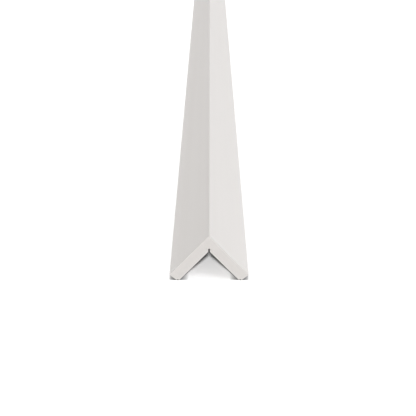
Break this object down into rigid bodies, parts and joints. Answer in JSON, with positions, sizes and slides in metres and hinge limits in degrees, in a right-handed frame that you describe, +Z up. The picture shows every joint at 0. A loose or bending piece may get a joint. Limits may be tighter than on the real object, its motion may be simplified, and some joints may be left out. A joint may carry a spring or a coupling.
{
  "type": "corner guard moulding",
  "caption": "Straight L-shaped moulding that covers the outside corner of a wall, with square legs, a sharp ridge and a relief groove in its inner corner.",
  "frame": {"origin": "bottom centre of the bounding box, midway along the length, on the level that the two free edges rest on", "axes": "+Y along the length, +Z up through the ridge, +X to the right leg"},
  "size_m": [0.04, 2.4384, 0.0228],
  "materials": {
    "white_vinyl": "smooth satin white, as extruded, with matt sawn ends"
  },
  "bodies": {
    "root": {"corner_guard": "white_vinyl"}
  },
  "joints": []
}
